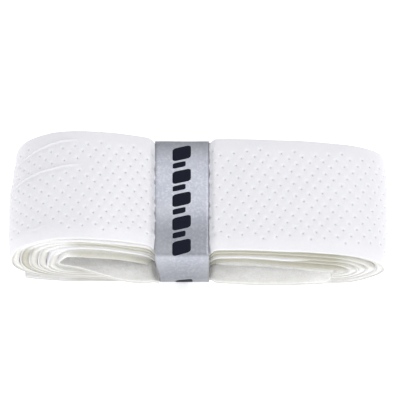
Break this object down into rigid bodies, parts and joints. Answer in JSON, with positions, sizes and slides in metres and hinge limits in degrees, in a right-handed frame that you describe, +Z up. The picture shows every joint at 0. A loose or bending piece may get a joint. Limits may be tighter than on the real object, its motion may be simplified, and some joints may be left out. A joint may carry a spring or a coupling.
{
  "type": "grip tape roll",
  "caption": "Perforated white replacement grip tape with felt backing, wound flat into a roll and held by a sliding silver belly band.",
  "frame": {"origin": "on the face that the roll rests on, at the middle of the tape's width, below the belly band near the middle of the roll's length", "axes": "+X along the roll towards the end that the band slides off, +Y across the tape to the back, +Z up"},
  "size_m": [0.0963, 0.0354, 0.0284],
  "materials": {
    "grip_skin": "satin polyurethane skin, fine grain, pin-hole perforations",
    "grip_backing": "matt fuzzy non-woven felt",
    "adhesive": "tacky, pale straw",
    "release_film": "smooth semi-gloss film",
    "band": "satin metallised film with printed dark bars",
    "finishing_tape": "satin stretch vinyl",
    "liner": "waxed release paper"
  },
  "bodies": {
    "roll": {"grip_skin": "grip_skin", "grip_backing": "grip_backing", "adhesive_strip": "adhesive", "release_film": "release_film"},
    "band": {"belly_band": "band", "band_glue": "adhesive"},
    "finishing_tape": {"finishing_tape": "finishing_tape", "finishing_tape_liner": "liner"}
  },
  "joints": [
    {"name": "band_slide", "type": "slide", "parent": "roll", "child": "band", "axis": [1, 0, 0], "range_m": [0, 0.06]},
    {"name": "finishing_tape_pull", "type": "slide", "parent": "roll", "child": "finishing_tape", "axis": [0, -1, 0], "range_m": [0, 0.03]}
  ]
}
